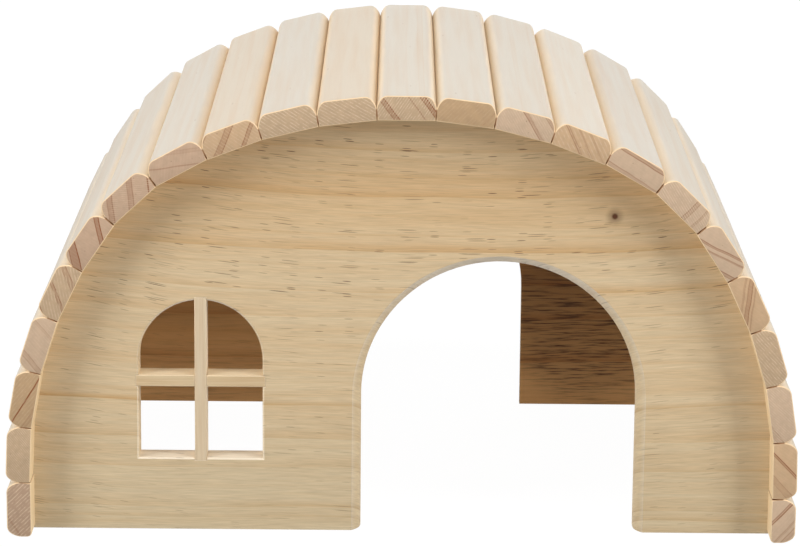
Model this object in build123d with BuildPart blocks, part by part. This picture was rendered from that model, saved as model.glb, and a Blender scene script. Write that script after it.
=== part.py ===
"""Wooden hamster house: an arched roof of pine slats glued round two end walls.

Frame: millimetres, origin at the middle of the footprint on the ground, +X to the right
when facing the doorway wall, +Y from the front towards the rear, +Z up.
"""

import os
from math import acos, cos, degrees, radians, sin, sqrt

from build123d import *

# ---------------------------------------------------------------- driving sizes (mm)
house_depth = 200.0  # length of every roof slat, along Y
front_overhang = 11.0  # how far the slats run past the outer face of the front wall
rear_overhang = 9.5  # and past the outer face of the rear wall
wall_thickness = 10.0

arch_half_width = 131.2  # of the curved wall edge the slats lie on
arch_height = 151.5  # of the same edge at the crown
crown_half_angle = 27.0  # degrees of the flat crown arc each side of the middle
shoulder_radius = 81.0
shoulder_angle = 27.5  # degrees of turn in each tighter shoulder arc
side_radius = 145.9  # of the arc from each shoulder down to the upright foot

slat_count = 23
slat_thickness = 8.8
last_slat_share = 0.8  # the slat at the right foot is ripped narrower to fit
slat_gap_first = 0.17  # gap between slats at the left foot
slat_gap_last = 0.65  # and at the right foot, growing evenly on the way
edge_width = 1.9  # sloped upper edge of a slat, measured across the slat
edge_drop = 3.6  # and measured down its side
edge_round_top = 3.0  # rounding where the slope meets the top face
edge_round_side = 6.0  # rounding where it meets the side
slat_end_ease = 0.4  # sanded break round both ends of a slat
foot_round = 1.6  # rounding of the inner bottom edge of the two foot slats

door_width = 98.0
door_height = 98.1  # to the top of the round arch
front_door_x = 34.3
rear_door_x = -1.1
router_radius = 9.0  # of the bit that rounds over the outer edge of each doorway
round_over_width = 3.1  # how far the bit cuts into the board's face

window_width = 44.0
window_x = -71.6
window_sill_z = 26.5
window_top_z = 84.5
window_ease = 0.5  # sanded break on the outer edge of the window

upright_bar_width = 4.2
cross_bar_height = 4.1
cross_bar_z = 54.9  # mid height of the level bar
housing_depth = 1.0  # depth of the notches in the window edge that take the bar ends
bar_side_fit = 0.05  # play on each side of a bar in its notch or halving
cut_margin = 5.0  # how far cutters run past a face
router_clearance = 1.0  # how far the round-over bit reaches past the wood

# ---------------------------------------------------------------- derived sizes
shoulder_end = crown_half_angle + shoulder_angle
side_angle = 90.0 - shoulder_end
shoulder_run = shoulder_radius * (sin(radians(shoulder_end)) - sin(radians(crown_half_angle)))
side_run = side_radius * (1.0 - sin(radians(shoulder_end)))
crown_radius = (arch_half_width - shoulder_run - side_run) / sin(radians(crown_half_angle))
crown_rise = crown_radius * (1.0 - cos(radians(crown_half_angle)))
shoulder_rise = shoulder_radius * (cos(radians(crown_half_angle)) - cos(radians(shoulder_end)))
side_rise = side_radius * cos(radians(shoulder_end))
leg_height = arch_height - crown_rise - shoulder_rise - side_rise

front_face_y = -house_depth / 2 + front_overhang
rear_face_y = house_depth / 2 - rear_overhang
door_spring_z = door_height - door_width / 2
round_over_depth = sqrt(router_radius**2 - (router_radius - round_over_width) ** 2)
round_over_turn = degrees(acos((router_radius - round_over_width) / router_radius))
window_spring_z = window_top_z - window_width / 2

# The arch, walked from the left foot over the crown to the right foot: each entry is a
# radius and the angle turned clockwise along it, or a straight length with no angle.
arch_walk = [
    (leg_height, 0.0),
    (side_radius, side_angle),
    (shoulder_radius, shoulder_angle),
    (crown_radius, 2 * crown_half_angle),
    (shoulder_radius, shoulder_angle),
    (side_radius, side_angle),
    (leg_height, 0.0),
]


def run_length(size: float, turn: float) -> float:
    """Length of one entry of the arch walk."""
    return size * radians(turn) if turn else size


arch_length = sum(run_length(size, turn) for size, turn in arch_walk)
slat_gaps = [
    slat_gap_first + (slat_gap_last - slat_gap_first) * i / (slat_count - 2)
    for i in range(slat_count - 1)
]
slat_width = (arch_length - sum(slat_gaps)) / (slat_count - 1 + last_slat_share)


def arch_station(distance: float) -> tuple[float, float, float]:
    """Point (x, z) and heading in degrees on the arch, at a distance from the left foot."""
    x, z, heading = -arch_half_width, 0.0, 90.0
    for size, turn in arch_walk:
        step = min(distance, run_length(size, turn))
        distance -= step
        if turn:
            turned = degrees(step / size)
            x += size * (sin(radians(heading)) - sin(radians(heading - turned)))
            z += size * (cos(radians(heading - turned)) - cos(radians(heading)))
            heading -= turned
        else:
            x += step * cos(radians(heading))
            z += step * sin(radians(heading))
        if distance <= 0:
            break
    return x, z, heading


def upright_plane(y: float) -> Plane:
    """Sketch plane facing the front, with local x = X and local y = Z, at depth y."""
    return Plane(origin=(0, y, 0), x_dir=(1, 0, 0), z_dir=(0, -1, 0))


def draw_arch() -> None:
    """Draws the closed outline of an arched wall board."""
    Line((arch_half_width, 0), (-arch_half_width, 0))
    x, z, heading = arch_station(0.0)
    walked = 0.0
    for size, turn in arch_walk:
        walked += run_length(size, turn)
        next_x, next_z, next_heading = arch_station(walked)
        if turn:
            tangent = (cos(radians(heading)), sin(radians(heading)))
            JernArc(start=(x, z), tangent=tangent, radius=size, arc_size=-turn)
        else:
            Line((x, z), (next_x, next_z))
        x, z, heading = next_x, next_z, next_heading


def draw_doorway_rim(centre_x: float) -> tuple[tuple[float, float], tuple[float, float]]:
    """Draws a round-topped doorway's edge, and returns its two ends below the ground.

    The jambs run on past the ground so that cutters leave the board cleanly.
    """
    left, right = centre_x - door_width / 2, centre_x + door_width / 2
    left_end, right_end = (left, -cut_margin), (right, -cut_margin)
    Line(left_end, (left, door_spring_z))
    CenterArc((centre_x, door_spring_z), door_width / 2, 180, -180)
    Line((right, door_spring_z), right_end)
    return left_end, right_end


def draw_router_bit(side: int) -> None:
    """Draws the section that rounds over an edge at the local origin.

    Local x runs into the wood and local y to the front; side is 1 for an edge on a board's
    front face and -1 for one on its rear face. The rounding runs out smoothly into the
    jamb and meets the board's face at an angle, because the bit is not set to full depth.
    """
    Polyline(
        (round_over_width, 0),
        (round_over_width, side * router_clearance),
        (-router_clearance, side * router_clearance),
        (-router_clearance, -side * round_over_depth),
        (0, -side * round_over_depth),
    )
    centre = (router_radius, -side * round_over_depth)
    CenterArc(centre, router_radius, 180, -side * round_over_turn)


def section_plane(path: BuildLine) -> Plane:
    """Plane across the start of a doorway's edge, with local x into the wood."""
    along = path.line % 0
    return Plane(origin=path.line @ 0, x_dir=(-along.Z, 0, along.X), z_dir=along)


def slat_plane(distance: float) -> Plane:
    """Plane at the rear end of a slat: local x along the arch, local y outwards."""
    x, z, heading = arch_station(distance)
    along = (cos(radians(heading)), 0, sin(radians(heading)))
    return Plane(origin=(x, house_depth / 2, z), x_dir=along, z_dir=(0, -1, 0))


os.makedirs("parts", exist_ok=True)

# ---------------------------------------------------------------- front wall
with BuildPart() as front_wall:
    with BuildSketch(upright_plane(front_face_y + wall_thickness)):
        with BuildLine():
            draw_arch()
        make_face()
        with BuildLine():
            Line(*draw_doorway_rim(front_door_x))
        make_face(mode=Mode.SUBTRACT)
        with Locations((window_x, (window_sill_z + window_spring_z) / 2)):
            Rectangle(window_width, window_spring_z - window_sill_z, mode=Mode.SUBTRACT)
        with Locations((window_x, window_spring_z)):
            Circle(window_width / 2, mode=Mode.SUBTRACT)
    extrude(amount=wall_thickness)
    with BuildLine(upright_plane(front_face_y)) as front_rim:
        draw_doorway_rim(front_door_x)
    with BuildSketch(section_plane(front_rim)):
        with BuildLine():
            draw_router_bit(side=1)
        make_face()
    sweep(path=front_rim.line, mode=Mode.SUBTRACT)
    window_rim = front_wall.faces().sort_by(Axis.Y)[0].inner_wires()[0].edges()
    chamfer(window_rim, length=window_ease)
    # notches through the wall that take the ends of the two bars
    with BuildSketch(upright_plane(front_face_y + wall_thickness)):
        with Locations((window_x, cross_bar_z)):
            Rectangle(window_width + 2 * housing_depth, cross_bar_height + 2 * bar_side_fit)
        with Locations((window_x, (window_sill_z + window_top_z) / 2)):
            Rectangle(
                upright_bar_width + 2 * bar_side_fit,
                window_top_z - window_sill_z + 2 * housing_depth,
            )
    extrude(amount=wall_thickness, mode=Mode.SUBTRACT)
front_wall.part.label = "front_wall"
export_step(front_wall.part, "parts/front_wall.step")

# ---------------------------------------------------------------- rear wall
with BuildPart() as rear_wall:
    with BuildSketch(upright_plane(rear_face_y)):
        with BuildLine():
            draw_arch()
        make_face()
        with BuildLine():
            Line(*draw_doorway_rim(rear_door_x))
        make_face(mode=Mode.SUBTRACT)
    extrude(amount=wall_thickness)
    with BuildLine(upright_plane(rear_face_y)) as rear_rim:
        draw_doorway_rim(rear_door_x)
    with BuildSketch(section_plane(rear_rim)):
        with BuildLine():
            draw_router_bit(side=-1)
        make_face()
    sweep(path=rear_rim.line, mode=Mode.SUBTRACT)
rear_wall.part.label = "rear_wall"
export_step(rear_wall.part, "parts/rear_wall.step")

# ---------------------------------------------------------------- window bars
bar_rear_y = front_face_y + wall_thickness
halving_y = front_face_y + wall_thickness / 2

# the upright runs through in front, halved from behind at the crossing
with BuildPart() as window_upright_bar:
    with BuildSketch(upright_plane(bar_rear_y)):
        with Locations((window_x, (window_sill_z + window_top_z) / 2)):
            Rectangle(upright_bar_width, window_top_z - window_sill_z + 2 * housing_depth)
    extrude(amount=wall_thickness)
    with BuildSketch(upright_plane(bar_rear_y)):
        with Locations((window_x, cross_bar_z)):
            Rectangle(
                upright_bar_width + 2 * cut_margin, cross_bar_height + 2 * bar_side_fit
            )
    extrude(amount=bar_rear_y - halving_y, mode=Mode.SUBTRACT)
window_upright_bar.part.label = "window_upright_bar"
export_step(window_upright_bar.part, "parts/window_upright_bar.step")

# the level bar runs through behind, halved from the front
with BuildPart() as window_cross_bar:
    with BuildSketch(upright_plane(bar_rear_y)):
        with Locations((window_x, cross_bar_z)):
            Rectangle(window_width + 2 * housing_depth, cross_bar_height)
    extrude(amount=wall_thickness)
    with BuildSketch(upright_plane(halving_y)):
        with Locations((window_x, cross_bar_z)):
            Rectangle(
                upright_bar_width + 2 * bar_side_fit, cross_bar_height + 2 * cut_margin
            )
    extrude(amount=halving_y - front_face_y, mode=Mode.SUBTRACT)
window_cross_bar.part.label = "window_cross_bar"
export_step(window_cross_bar.part, "parts/window_cross_bar.step")

# ---------------------------------------------------------------- roof slats
# Slats are numbered from the left foot over the crown to the right foot. Each lies with
# its flat underside against the arch edge of both walls.
slat_start = 0.0
for i in range(slat_count):
    is_last = i == slat_count - 1
    width = slat_width * (last_slat_share if is_last else 1.0)
    half = width / 2
    with BuildPart() as roof_slat:
        with BuildSketch(slat_plane(slat_start + half)):
            Polygon(
                (-half, 0),
                (half, 0),
                (half, slat_thickness - edge_drop),
                (half - edge_width, slat_thickness),
                (-half + edge_width, slat_thickness),
                (-half, slat_thickness - edge_drop),
                align=None,
            )
            corners = vertices().sort_by(Axis.Y)
            fillet(corners[4:], radius=edge_round_top)
            fillet(vertices().group_by(Axis.Y)[1], radius=edge_round_side)
            if i == 0:
                fillet(vertices().group_by(Axis.Y)[0].sort_by(Axis.X)[0], radius=foot_round)
            if is_last:
                fillet(vertices().group_by(Axis.Y)[0].sort_by(Axis.X)[-1], radius=foot_round)
        extrude(amount=house_depth)
        ends = faces().filter_by(Axis.Y)
        chamfer(ends.edges(), length=slat_end_ease)
    roof_slat.part.label = f"roof_slat_{i + 1:02d}"
    export_step(roof_slat.part, f"parts/roof_slat_{i + 1:02d}.step")
    if not is_last:
        slat_start += width + slat_gaps[i]
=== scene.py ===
"""Looks of the wooden hamster house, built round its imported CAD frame.

Blender works in metres in the object's own frame: origin at the middle of the footprint on
the ground, +X to the right when facing the wall with the window, +Y from there to the rear
wall, +Z up. The sizes of the wooden pieces and of their grain are given in millimetres.
"""

import logging
from dataclasses import dataclass, field
from enum import Enum
from math import cos, degrees, pi, radians, sin
from typing import Any

import bmesh
import bpy
from mathutils import Euler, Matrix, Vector


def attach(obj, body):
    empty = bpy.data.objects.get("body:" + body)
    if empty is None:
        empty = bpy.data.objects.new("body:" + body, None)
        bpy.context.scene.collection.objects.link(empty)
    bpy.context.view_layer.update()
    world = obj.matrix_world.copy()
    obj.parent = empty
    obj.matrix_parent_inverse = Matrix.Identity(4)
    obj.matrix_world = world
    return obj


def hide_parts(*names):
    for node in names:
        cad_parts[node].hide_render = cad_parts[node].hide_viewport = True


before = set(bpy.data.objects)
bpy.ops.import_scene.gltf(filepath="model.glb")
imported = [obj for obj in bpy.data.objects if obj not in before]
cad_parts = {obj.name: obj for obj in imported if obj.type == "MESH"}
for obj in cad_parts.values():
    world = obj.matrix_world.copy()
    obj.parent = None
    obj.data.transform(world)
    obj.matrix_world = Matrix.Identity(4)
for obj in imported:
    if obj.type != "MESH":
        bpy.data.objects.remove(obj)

log = logging.getLogger("hamster_house")

MM = 0.001  # metres in a millimetre
ROOT = "root"  # the one body: nothing on the house moves
MERGE_REACH = 0.002  # mm, corners nearer to each other than this are one
SLAT_RINGS = 3  # growth rings that a slat's attributes have room for

Colour = tuple[float, float, float, float]
Triple = tuple[float, float, float]
Span = tuple[float, float]
Tree = bpy.types.NodeTree
Node = bpy.types.Node
Socket = bpy.types.NodeSocket

WHITE: Colour = (1.0, 1.0, 1.0, 1.0)


def linear(hex_colour: str) -> Colour:
    """Turns an sRGB hex colour into linear RGBA.

    Args:
        hex_colour: Six hex digits, with or without a leading #.

    Returns:
        The colour as Blender's sockets take it.
    """
    digits = hex_colour.lstrip("#")
    parts = [int(digits[i : i + 2], 16) / 255 for i in (0, 2, 4)]
    lit = [p / 12.92 if p <= 0.04045 else ((p + 0.055) / 1.055) ** 2.4 for p in parts]
    return (lit[0], lit[1], lit[2], 1.0)


def add(tree: Tree, kind: str, inputs: dict[Any, Any] | list[Any] | None = None,
        **settings: Any) -> Node:
    """Adds one node with its settings and links.

    Args:
        tree: The node tree that gets the node.
        kind: Blender's name of the node type.
        inputs: Values by input name or number, or a list for the first inputs. A node stands
            for its first output in use.
        settings: Properties of the node itself.

    Returns:
        The new node.
    """
    node = tree.nodes.new(kind)
    for name, value in settings.items():
        setattr(node, name, value)
    listed = inputs if isinstance(inputs, dict) else dict(enumerate(inputs or []))
    for key, value in listed.items():
        socket = node.inputs[key]
        if isinstance(value, Node):
            value = next(output for output in value.outputs if output.enabled)
        if isinstance(value, Socket):
            tree.links.new(value, socket)
        else:
            socket.default_value = value
    return node


def put(name: str, data: bpy.types.ID) -> bpy.types.Object:
    """Puts an object in the scene.

    Args:
        name: Name of the object.
        data: Its mesh, camera or lamp.

    Returns:
        The object.
    """
    thing = bpy.data.objects.new(name, data)
    bpy.context.scene.collection.objects.link(thing)
    return thing


def merged(mesh: bpy.types.Mesh) -> bmesh.types.BMesh:
    """Opens a mesh for editing, with its doubled corners merged.

    Args:
        mesh: The mesh, which stays as it is.

    Returns:
        The shape to edit.
    """
    shape = bmesh.new()
    shape.from_mesh(mesh)
    bmesh.ops.remove_doubles(shape, verts=shape.verts, dist=MERGE_REACH * MM)
    return shape


class GrainAxis(Enum):
    """The direction that a piece's fibres run in."""

    ACROSS = Vector((1, 0, 0))
    LENGTHWISE = Vector((0, 1, 0))
    UPRIGHT = Vector((0, 0, 1))


class EndTint(Enum):
    """The earlywood colour of a slat's sawn end."""

    PALE = "#CAAE92"
    ROSY = "#C3A489"
    HONEY = "#C9A884"
    BEIGE = "#C0A484"
    TAN = "#BB9B76"
    BROWN = "#B0937A"


class FaceTint(Enum):
    """How one slat's planed faces differ from the palest of them."""

    LIGHT = "#FFFFFF"
    PLAIN = "#F8F8F8"
    WARM = "#FAF4EC"
    COOL = "#F7F8FA"


# ------------------------------------------------------------------ finishes


@dataclass(frozen=True, kw_only=True)
class Pine:
    """Bare softwood: pale earlywood, darker latewood and fine fibres."""

    name: str
    pale: str  # earlywood on the planed faces
    late: str  # latewood on the planed faces
    roughness: float = 0.62
    fibre_depth: float = 0.05  # how far the fibres darken and lighten the face
    fibre_relief: float = 0.25  # share of the relief that sanding leaves
    relief_height: float = 0.0002  # metres from a fibre's crest to its trough

    def start(self) -> tuple[bpy.types.Material, Tree, Node]:
        """Makes the material with a bare shader.

        Returns:
            The material, its node tree and its Principled shader.
        """
        material = bpy.data.materials.new(self.name)
        material.use_nodes = True
        tree = material.node_tree
        tree.nodes.clear()
        # Sanded bare pine is matt, with a faint sheen along the fibres and no coat.
        shader = add(tree, "ShaderNodeBsdfPrincipled",
                     {"IOR": 1.5, "Specular IOR Level": 0.35, "Roughness": self.roughness})
        add(tree, "ShaderNodeOutputMaterial", {"Surface": shader})
        return material, tree, shader

    def millimetres(self, tree: Tree) -> Node:
        """Adds the surface point in the object's frame, in millimetres."""
        point = add(tree, "ShaderNodeTexCoord").outputs["Object"]
        return add(tree, "ShaderNodeVectorMath", {0: point, "Scale": 1 / MM}, operation="SCALE")

    def fibres(self, tree: Tree, point: Any, size: Triple | Vector, detail: float = 3.0,
               span: Span | None = None, share: Span = (0.0, 1.0)) -> Socket:
        """Adds noise drawn out along the fibres.

        Args:
            tree: The material's node tree.
            point: The point in millimetres.
            size: Size of one streak along each axis, in millimetres.
            detail: Octaves of finer noise.
            span: The noise at which a streak begins and the noise at which it is full.
            share: What it gives at the one and at the other.

        Returns:
            That share, or where no span is given the noise itself, from 0 to 1.
        """
        scaled = add(tree, "ShaderNodeVectorMath", [point, size], operation="DIVIDE")
        noise = add(tree, "ShaderNodeTexNoise",
                    {"Vector": scaled, "Scale": 1.0, "Detail": detail, "Roughness": 0.55})
        if not span:
            return noise.outputs["Fac"]
        return add(tree, "ShaderNodeMapRange", [noise.outputs["Fac"], *span, *share]).outputs[0]

    def drift(self, tree: Tree, point: Any, size: Triple, reach: float, along: Any) -> Node:
        """Lets the rings wander slowly, as they do in every trunk.

        Args:
            tree: The material's node tree.
            point: The point in millimetres.
            size: Size of one slow wave along each axis, in millimetres.
            reach: How far the rings wander, in millimetres.
            along: The coordinate across the rings that wanders.

        Returns:
            A node that gives the new coordinate.
        """
        wave = self.fibres(tree, point, size, detail=2.0)
        wave = add(tree, "ShaderNodeMath", [wave, 0.5], operation="SUBTRACT")
        return add(tree, "ShaderNodeMath", [wave, reach, along], operation="MULTIPLY_ADD")

    def fine_fibres(self, tree: Tree, colour: Node, point: Any, size: Triple | Vector,
                    detail: float) -> tuple[Node, Socket]:
        """Darkens and lightens a face in fine lines, fibre by fibre.

        Args:
            tree: The material's node tree.
            colour: The Mix node that holds the colour so far.
            point: The point in millimetres.
            size: Size of one fibre along each axis, in millimetres.
            detail: Octaves of finer noise.

        Returns:
            The Mix node that holds the new colour, and the fibres' own tone.
        """
        fine = self.fibres(tree, point, size, detail, (0.25, 0.75),
                           (1 - self.fibre_depth, 1 + self.fibre_depth))
        colour = add(tree, "ShaderNodeMix", {0: 1.0, 6: colour, 7: fine}, data_type="RGBA",
                     blend_type="MULTIPLY")
        return colour, fine

    def flecks(self, tree: Tree, point: Any, cell: Triple, share: float,
               dimensions: str = "3D") -> Socket:
        """Adds short dark dashes, the resin canals that the plane has cut open.

        Args:
            tree: The material's node tree.
            point: The point in millimetres.
            cell: Size of the cell that holds one dash, in millimetres.
            share: Share of the cells that hold one.
            dimensions: 2D where every dash lies in the face, 3D where the face cuts them.

        Returns:
            Up to 1 on a dash and 0 beside it.
        """
        scaled = add(tree, "ShaderNodeVectorMath", [point, cell], operation="DIVIDE")
        cells = add(tree, "ShaderNodeTexVoronoi", {"Vector": scaled, "Scale": 1.0},
                    voronoi_dimensions=dimensions)
        near = add(tree, "ShaderNodeMapRange", [cells.outputs["Distance"], 0.19, 0.12, 0.0, 1.0],
                   interpolation_type="SMOOTHSTEP")
        tone = add(tree, "ShaderNodeSeparateColor", [cells.outputs["Color"]])
        chosen = add(tree, "ShaderNodeMapRange", [tone.outputs[0], share, share * 0.3])
        strength = add(tree, "ShaderNodeMapRange", {"Value": tone.outputs[1], "To Min": 0.35})
        chosen = add(tree, "ShaderNodeMath", [chosen, strength], operation="MULTIPLY")
        return add(tree, "ShaderNodeMath", [near, chosen], operation="MULTIPLY").outputs[0]

    def cut_edges(self, tree: Tree, colour: Node, out_y: Socket, fresh: str,
                  share: float) -> Node:
        """Colours what turns away from the piece's front and rear: wood freshly cut, with painted
        light on those faces.

        Args:
            tree: The material's node tree.
            colour: The Mix node that holds the colour so far.
            out_y: The y of the surface's normal.
            fresh: Colour of the fresh wood and of the painted light on it.
            share: How much of that colour shows.

        Returns:
            The Mix node that holds the new colour.
        """
        flat = add(tree, "ShaderNodeMath", [out_y], operation="ABSOLUTE")
        cut = add(tree, "ShaderNodeMapRange", [flat, 0.97, 0.85, 0.0, share])
        return add(tree, "ShaderNodeMix", {0: cut, 6: colour, 7: linear(fresh)}, data_type="RGBA")

    def close(self, tree: Tree, shader: Node, colour: Node, relief: Any) -> None:
        """Gives the shader its colour and its fine relief.

        Args:
            tree: The material's node tree.
            shader: The Principled shader.
            colour: The Mix node that holds the finished colour.
            relief: Height of the fibres and saw marks.
        """
        tree.links.new(colour.outputs[2], shader.inputs["Base Color"])
        bump = add(tree, "ShaderNodeBump",
                   {"Strength": self.fibre_relief, "Distance": self.relief_height,
                    "Height": relief})
        tree.links.new(bump.outputs[0], shader.inputs["Normal"])


@dataclass(frozen=True, kw_only=True)
class BoardPine(Pine):
    """Planed and sanded pine board with level grain: the end walls.

    Its latewood shows as soft level bands that end sharply on their lower side. The side that
    faces the room is painted deeper and more orange for the light bounced about inside.
    """

    pale: str = "#D9C29D"
    end_pale: str = "#E2CDA8"  # earlywood where the fibres meet the surface
    end_late: str = "#B8935F"  # latewood there
    brown: str = "#FBF1E4"  # painted warmth and shade high on the board, under the roof's overhang
    grey: str = "#F4F8FB"  # greyer towards its foot
    cut_pale_and_painted_light: str = "#F0E3CE"  # routed and eased edges and the faces in the openings: fresh wood, partly painted light
    cut_share: float = 0.85
    painted_room_pale: str = "#EBBE84"  # the room's side, painted deeper and more orange for the light bounced about inside
    painted_room_late: str = "#C88D50"
    painted_shade_high: str = "#CCC2B1"  # painted shade: how much darker it is higher up
    painted_light_low: Colour = (1.2, 1.2, 1.2, 1.0)  # painted light: how much lighter it is at its foot
    inner_dash: str = "#4C2C16"  # torn fibres on it
    torn_patch: Triple = (74.0, 85.0, 36.0)  # where most of them are
    room_side: float = 1.0  # which way along Y the room lies
    fleck: str = "#7E4E2E"  # resin canals cut open lengthwise
    fleck_share: float = 0.3  # share of the fleck cells that hold one
    fleck_depth: float = 0.7
    bands: tuple[Triple, ...]  # height and width in mm, and strength
    band_edge: float = 0.4  # mm in which a band ends on its lower side
    bow: float = 0.00055  # how the rings rise to both sides at the board's top, per mm
    bow_centre: float = 15.0
    fleck_bow: float = 0.0005  # how much of that rise the rows of flecks don't follow
    ring_lean: float = 0.45  # how far a ring climbs per mm through the thickness
    ring_drift: float = 5.0
    knot: tuple[float, float] | None = None  # x and height of a pin knot
    face_y: float = 0.0
    board_height: float = 160.0
    # streak and cell sizes in mm, along the board, through it and up it
    drift_size: Triple = (110, 90, 40)
    waver_size: Triple = (90, 40, 9)
    soft_size: Triple = (85, 12, 2.6)
    torn_size: Triple = (15, 8, 0.9)
    torn_place_size: Triple = (60, 30, 14)
    fine_size: Triple = (9, 4, 0.4)
    row_size: Triple = (70, 60, 4.0)
    long_fleck: Triple = (22, 0.8, 1)
    short_fleck: Triple = (10, 0.85, 1)

    def build(self) -> bpy.types.Material:
        """Builds the material.

        Returns:
            The material.
        """
        material, tree, shader = self.start()
        point = self.millimetres(tree)
        x, y, z = add(tree, "ShaderNodeSeparateXYZ", [point]).outputs
        # height of the ring that passes through the point
        off = add(tree, "ShaderNodeMath", [x, self.bow_centre], operation="SUBTRACT")
        bow = add(tree, "ShaderNodeMath", [off, off], operation="MULTIPLY")
        rise = add(tree, "ShaderNodeMath", [z, -self.bow / self.board_height],
                   operation="MULTIPLY")
        level = add(tree, "ShaderNodeMath", [bow, rise, z], operation="MULTIPLY_ADD")
        deep = add(tree, "ShaderNodeMath", [y, self.face_y], operation="SUBTRACT")
        ring = add(tree, "ShaderNodeMath", [deep, self.ring_lean, level],
                   operation="MULTIPLY_ADD")
        ring = self.drift(tree, point, self.drift_size, self.ring_drift, ring)
        along = add(tree, "ShaderNodeCombineXYZ", [x, y, ring])

        late = self.latewood(tree, ring, along)
        outer = self.outer_side(tree, late, level)
        inner = self.room_face(tree, late, point, along, z)
        facing = add(tree, "ShaderNodeNewGeometry").outputs["Normal"]
        out_x, out_y, _ = add(tree, "ShaderNodeSeparateXYZ", [facing]).outputs
        inwards = add(tree, "ShaderNodeMath", [out_y, self.room_side], operation="MULTIPLY")
        inwards = add(tree, "ShaderNodeMapRange", [inwards, 0.3, 0.9])
        colour = add(tree, "ShaderNodeMix", {0: inwards, 6: outer, 7: inner}, data_type="RGBA")

        # routed and eased edges, fresh wood with painted light on them, and end grain where the
        # fibres meet the surface
        colour = self.cut_edges(tree, colour, out_y, self.cut_pale_and_painted_light, self.cut_share)
        end = add(tree, "ShaderNodeMath", [out_x], operation="ABSOLUTE")
        end = add(tree, "ShaderNodeMapRange", [end, 0.35, 0.8])
        end_colour = add(tree, "ShaderNodeMix",
                         {0: late, 6: linear(self.end_pale), 7: linear(self.end_late)},
                         data_type="RGBA")
        colour = add(tree, "ShaderNodeMix", {0: end, 6: colour, 7: end_colour}, data_type="RGBA")
        colour, fine = self.fine_fibres(tree, colour, along, self.fine_size, detail=5.0)
        colour = self.add_canals(tree, colour, x, z, bow, ring, along)
        if self.knot:
            colour = self.add_knot(tree, colour, x, z)
        self.close(tree, shader, colour, fine)
        return material

    def latewood(self, tree: Tree, ring: Any, along: Any) -> Node:
        """Adds the latewood: clear bands that come and go along the board, and soft streaks.

        Args:
            tree: The material's node tree.
            ring: Height of the ring through the point, in millimetres.
            along: The point with that height in place of its own.

        Returns:
            A node that gives the share of latewood colour.
        """
        bands = self.ring_bands(tree, ring)
        waver = self.fibres(tree, along, self.waver_size, 1.0, (0.3, 0.65), (0.45, 1.15))
        band = add(tree, "ShaderNodeMath", [bands, waver], operation="MULTIPLY")
        soft = self.fibres(tree, along, self.soft_size, 3.0, (0.38, 0.8), (0.0, 0.4))
        return add(tree, "ShaderNodeMath", [band, soft], operation="ADD", use_clamp=True)

    def ring_bands(self, tree: Tree, ring: Any) -> Node:
        """Adds the board's latewood bands: dark at each lower edge and fading upwards.

        Args:
            tree: The material's node tree.
            ring: Height of the ring through the point, in millimetres.

        Returns:
            A node that gives the share of latewood colour.
        """
        total = None
        for height, width, strength in self.bands:
            fade = add(tree, "ShaderNodeMapRange", [ring, height, height + width, strength, 0.0],
                       interpolation_type="SMOOTHSTEP")
            begin = add(tree, "ShaderNodeMapRange", [ring, height - self.band_edge, height])
            band = add(tree, "ShaderNodeMath", [fade, begin], operation="MULTIPLY")
            line = add(tree, "ShaderNodeMath", [ring, height], operation="SUBTRACT")
            line = add(tree, "ShaderNodeMath", [line], operation="ABSOLUTE")
            line = add(tree, "ShaderNodeMapRange",
                       [line, 0.45, 0.05, 0.0, min(1.0, strength * 1.3)],
                       interpolation_type="SMOOTHSTEP")
            band = add(tree, "ShaderNodeMath", [line, band], operation="MAXIMUM")
            if total:
                band = add(tree, "ShaderNodeMath", [total, band], operation="MAXIMUM")
            total = band
        return total

    def outer_side(self, tree: Tree, late: Node, level: Node) -> Node:
        """Colours the sanded outer side, with painted warmth and shade under the overhang near
        its top, and greyer at its foot.

        Args:
            tree: The material's node tree.
            late: Share of latewood colour.
            level: Height in the board, following the rings.

        Returns:
            The Mix node that holds the colour.
        """
        colour = add(tree, "ShaderNodeMix", {0: late, 6: linear(self.pale), 7: linear(self.late)},
                     data_type="RGBA")
        # painted warmth and shade where the roof's overhang shades the board, fading out right
        # under the slats
        top = add(tree, "ShaderNodeMapRange", [level, 95.0, 122.0])
        crown = add(tree, "ShaderNodeMapRange", [level, 128.0, 146.0, 1.0, 0.0])
        top = add(tree, "ShaderNodeMath", [top, crown], operation="MULTIPLY")
        foot = add(tree, "ShaderNodeMapRange", [level, 60.0, 5.0])
        painted_warmth_and_grey = add(tree, "ShaderNodeMix", {0: foot, 6: WHITE, 7: linear(self.grey)},
                    data_type="RGBA")
        painted_warmth_and_grey = add(tree, "ShaderNodeMix", {0: top, 6: painted_warmth_and_grey, 7: linear(self.brown)},
                    data_type="RGBA")
        return add(tree, "ShaderNodeMix", {0: 1.0, 6: colour, 7: painted_warmth_and_grey}, data_type="RGBA",
                   blend_type="MULTIPLY")

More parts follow.
